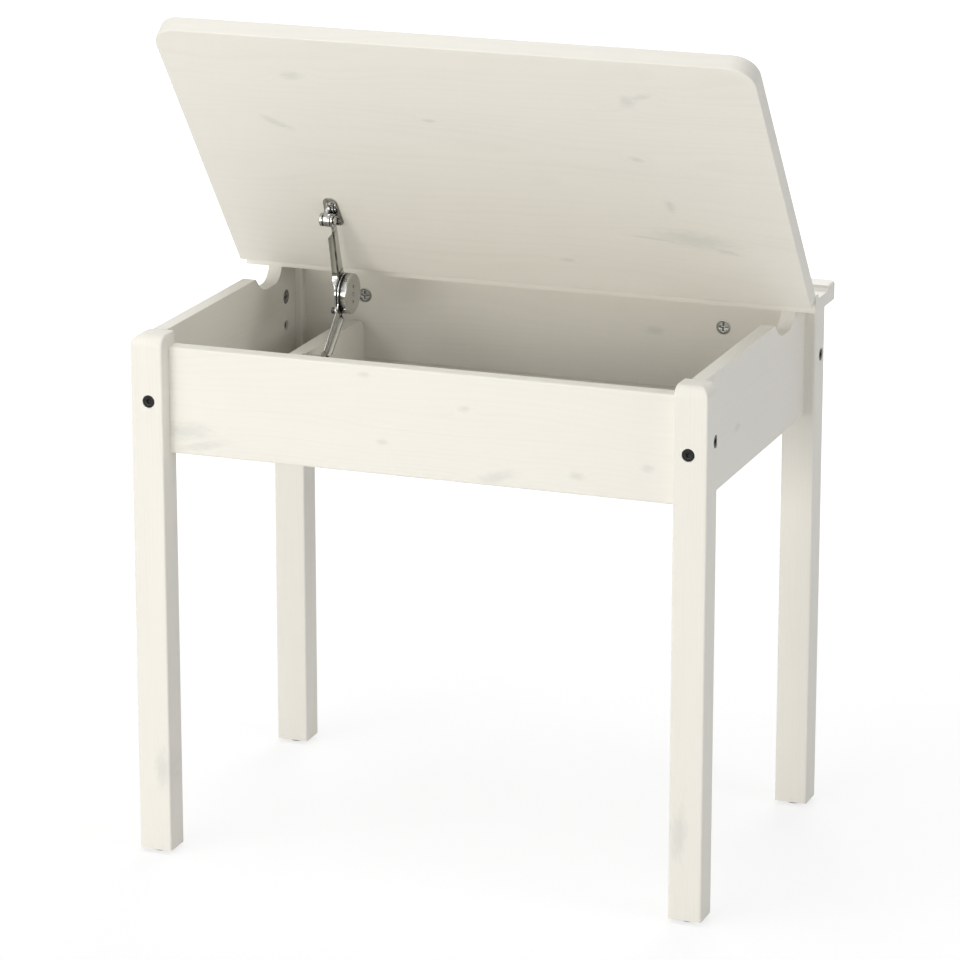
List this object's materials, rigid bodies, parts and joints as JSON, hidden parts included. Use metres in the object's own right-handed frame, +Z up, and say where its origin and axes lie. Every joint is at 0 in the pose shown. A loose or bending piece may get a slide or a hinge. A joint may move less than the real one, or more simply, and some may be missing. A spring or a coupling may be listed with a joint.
{
  "type": "kids desk",
  "caption": "Child's wooden desk with a lift-up lid held by a folding friction stay, a shallow compartment with a divider under it and a pen groove along the back.",
  "frame": {"origin": "on the floor, in the middle between the legs", "axes": "+Z up, +X to the right of someone who sits at the desk and looks at it, -Y to the front; rest is with the lid open as the picture shows it"},
  "size_m": [0.6, 0.378, 0.8138],
  "materials": {
    "white_wood": "white-stained pine, satin",
    "board": "white-faced thin board",
    "dowel_wood": "bare hardwood",
    "dark_plastic": "matt",
    "black_steel": "black oxide",
    "friction_plastic": "matt",
    "zinc_steel": "zinc plated",
    "nickel_plate": "nickel plated"
  },
  "bodies": {
    "desk_frame": {"front_left_leg": "white_wood", "front_right_leg": "white_wood", "rear_left_leg": "white_wood", "rear_right_leg": "white_wood", "front_left_glide": "dark_plastic", "front_right_glide": "dark_plastic", "rear_left_glide": "dark_plastic", "rear_right_glide": "dark_plastic", "front_panel": "white_wood", "back_panel": "white_wood", "left_side_panel": "white_wood", "right_side_panel": "white_wood", "bottom_panel": "board", "stay_divider": "white_wood", "pen_rail": "white_wood", "left_rail_leaf": "zinc_steel", "right_rail_leaf": "zinc_steel", "left_hinge_pin": "zinc_steel", "right_hinge_pin": "zinc_steel", "rail_leaf_screws": "zinc_steel", "side_panel_bolts": "black_steel", "cross_panel_bolts": "black_steel", "barrel_nuts": "zinc_steel", "panel_dowels": "dowel_wood", "rail_cams": "zinc_steel", "rail_cam_dowels": "zinc_steel", "stay_foot_bracket": "nickel_plate", "stay_foot_pin": "nickel_plate", "stay_foot_screws": "nickel_plate"},
    "lid": {"desk_lid": "white_wood", "left_lid_leaf": "zinc_steel", "right_lid_leaf": "zinc_steel", "lid_leaf_screws": "zinc_steel", "stay_lid_bracket": "nickel_plate", "stay_lid_screws": "nickel_plate", "stay_lid_pin": "nickel_plate"},
    "stay_upper": {"stay_upper_arm": "nickel_plate", "stay_stop_stud": "nickel_plate"},
    "stay_lower": {"stay_lower_arm": "nickel_plate", "stay_friction_washer": "friction_plastic", "stay_spacer": "friction_plastic", "stay_housing": "nickel_plate", "stay_elbow_rivet": "nickel_plate"}
  },
  "joints": [
    {"name": "lid_hinge", "type": "hinge", "parent": "desk_frame", "child": "lid", "pos_m": [0, 0.1173, 0.5415], "axis": [1, 0, 0], "range_deg": [0, 52.5]},
    {"name": "stay_foot_hinge", "type": "hinge", "parent": "desk_frame", "child": "stay_lower", "pos_m": [-0.17, 0.0045, 0.461], "axis": [1, 0, 0], "range_deg": [-40, 0]},
    {"name": "stay_lid_hinge", "type": "hinge", "parent": "lid", "child": "stay_upper", "pos_m": [-0.173, 0.04215, 0.59525], "axis": [1, 0, 0], "range_deg": [-15.5, 0]}
  ],
  "couplings": [
    {"joint": "stay_foot_hinge", "follows": "lid_hinge", "ratio": -0.76},
    {"joint": "stay_lid_hinge", "follows": "lid_hinge", "ratio": -0.29}
  ]
}
